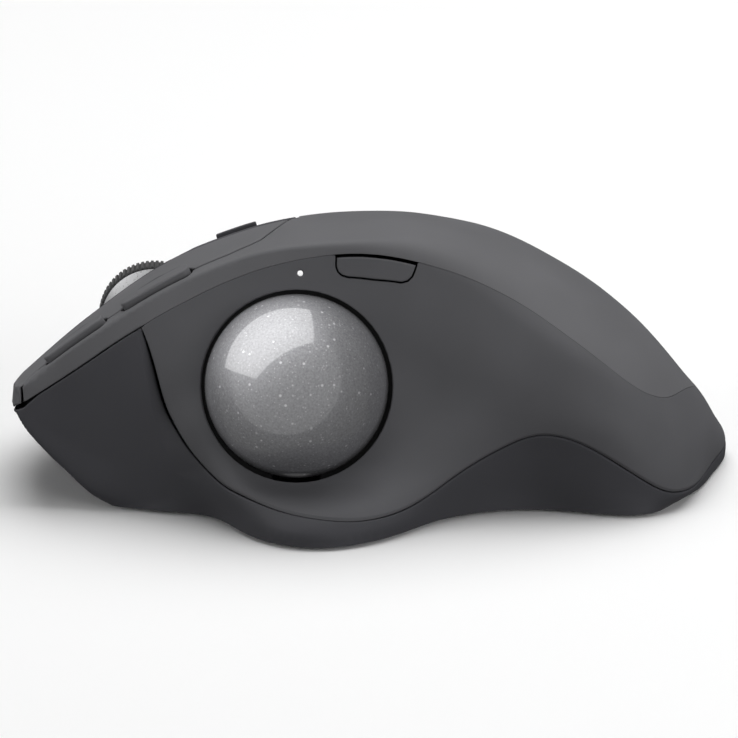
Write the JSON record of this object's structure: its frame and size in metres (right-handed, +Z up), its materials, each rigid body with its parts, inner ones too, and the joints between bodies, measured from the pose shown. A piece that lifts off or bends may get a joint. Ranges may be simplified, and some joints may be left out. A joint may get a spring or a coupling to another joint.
{
  "type": "trackball mouse",
  "caption": "Right-handed thumb trackball mouse: sculpted palm shell, ball in a ringed cup on the thumb side, scroll wheel, press buttons and a hinged steel tilt plate.",
  "frame": {"origin": "middle of the outline, on the desk", "axes": "+Y to the front where the buttons are, +X to the user's right, +Z up"},
  "size_m": [0.0997, 0.1327, 0.0526],
  "materials": {
    "soft_touch": "matte soft-touch coating",
    "side_plastic": "fine matte texture",
    "dark_plastic": "matte",
    "black_plastic": "satin",
    "ball_pearl": "polished with fine sparkle",
    "steel": "satin",
    "wheel_metal": "bright turned",
    "plate_steel": "dark coated steel",
    "rubber": "matte",
    "circuit_board": "solder mask",
    "battery_wrap": "shrink wrap",
    "lens": "clear",
    "status_light": "clear white"
  },
  "bodies": {
    "body": {"base_housing": "dark_plastic", "thumb_panel": "side_plastic", "top_shell": "soft_touch", "center_strip": "dark_plastic", "status_light": "status_light", "ball_cup": "black_plastic", "bearing_1": "steel", "bearing_2": "steel", "bearing_3": "steel", "ball_sensor": "black_plastic", "sensor_lens": "lens", "sensor_board": "circuit_board", "wheel_switch": "black_plastic", "left_switch": "black_plastic", "right_switch": "black_plastic", "power_switch": "black_plastic", "button_board": "circuit_board", "main_board": "circuit_board", "battery": "battery_wrap", "charge_socket": "steel", "plate_hinge_pin": "steel", "case_screw_1": "steel", "case_screw_2": "steel", "case_screw_3": "steel", "case_screw_4": "steel", "plate_magnet_1": "steel", "plate_magnet_2": "steel"},
    "left_button": {"left_button": "soft_touch"},
    "right_button": {"right_button": "soft_touch"},
    "back_button": {"back_button": "side_plastic"},
    "forward_button": {"forward_button": "side_plastic"},
    "channel_button": {"channel_button": "dark_plastic"},
    "precision_button": {"precision_button": "side_plastic"},
    "wheel_bracket": {"wheel_bracket": "black_plastic", "tilt_pin": "steel"},
    "wheel_cradle": {"wheel_cradle": "black_plastic", "wheel_encoder": "black_plastic"},
    "wheel": {"scroll_tyre": "rubber", "wheel_hub": "wheel_metal", "wheel_axle": "steel"},
    "ball": {"ball": "ball_pearl"},
    "power_slider": {"power_slider": "side_plastic"},
    "plate": {"tilt_plate": "plate_steel", "desk_pad": "rubber"}
  },
  "joints": [
    {"name": "left_press", "type": "hinge", "parent": "body", "child": "left_button", "pos_m": [0, 0.017, 0.046], "axis": [-1, 0, 0], "range_deg": [0, 0.6], "stiffness_Nm_per_rad": 1, "springref_deg": -0.57},
    {"name": "right_press", "type": "hinge", "parent": "body", "child": "right_button", "pos_m": [0, 0.017, 0.046], "axis": [-1, 0, 0], "range_deg": [0, 0.6], "stiffness_Nm_per_rad": 1, "springref_deg": -0.57},
    {"name": "back_press", "type": "slide", "parent": "body", "child": "back_button", "axis": [0, -0.6073, -0.7944], "range_m": [0, 0.0006], "stiffness_N_per_m": 400, "springref_m": -0.0003},
    {"name": "forward_press", "type": "slide", "parent": "body", "child": "forward_button", "axis": [0, -0.4981, -0.8671], "range_m": [0, 0.0006], "stiffness_N_per_m": 400, "springref_m": -0.0003},
    {"name": "channel_press", "type": "slide", "parent": "body", "child": "channel_button", "axis": [-0.2781, -0.3181, -0.9063], "range_m": [0, 0.0006], "stiffness_N_per_m": 400, "springref_m": -0.0003},
    {"name": "precision_press", "type": "slide", "parent": "body", "child": "precision_button", "axis": [0.92, 0, -0.392], "range_m": [0, 0.0005], "stiffness_N_per_m": 400, "springref_m": -0.0003},
    {"name": "wheel_press", "type": "slide", "parent": "body", "child": "wheel_bracket", "axis": [0, 0, -1], "range_m": [0, 0.0007], "stiffness_N_per_m": 2000, "springref_m": -0.0004},
    {"name": "wheel_tilt", "type": "hinge", "parent": "wheel_bracket", "child": "wheel_cradle", "pos_m": [0.003, 0.04, 0.0175], "axis": [0, 1, 0], "range_deg": [-2, 2], "stiffness_Nm_per_rad": 0.15},
    {"name": "wheel_spin", "type": "hinge", "parent": "wheel_cradle", "child": "wheel", "pos_m": [0.003, 0.04, 0.0297], "axis": [-1, 0, 0], "continuous": true},
    {"name": "ball_spin", "type": "hinge", "parent": "body", "child": "ball", "pos_m": [-0.028, 0.0136, 0.0253], "axis": [0, 0, 1], "continuous": true},
    {"name": "power_slide", "type": "slide", "parent": "body", "child": "power_slider", "axis": [1, 0, 0], "range_m": [0, 0.0035]},
    {"name": "plate_tilt", "type": "hinge", "parent": "body", "child": "plate", "pos_m": [0.031, -0.002, 0.0046], "axis": [0, -1, 0], "range_deg": [0, 20]}
  ]
}
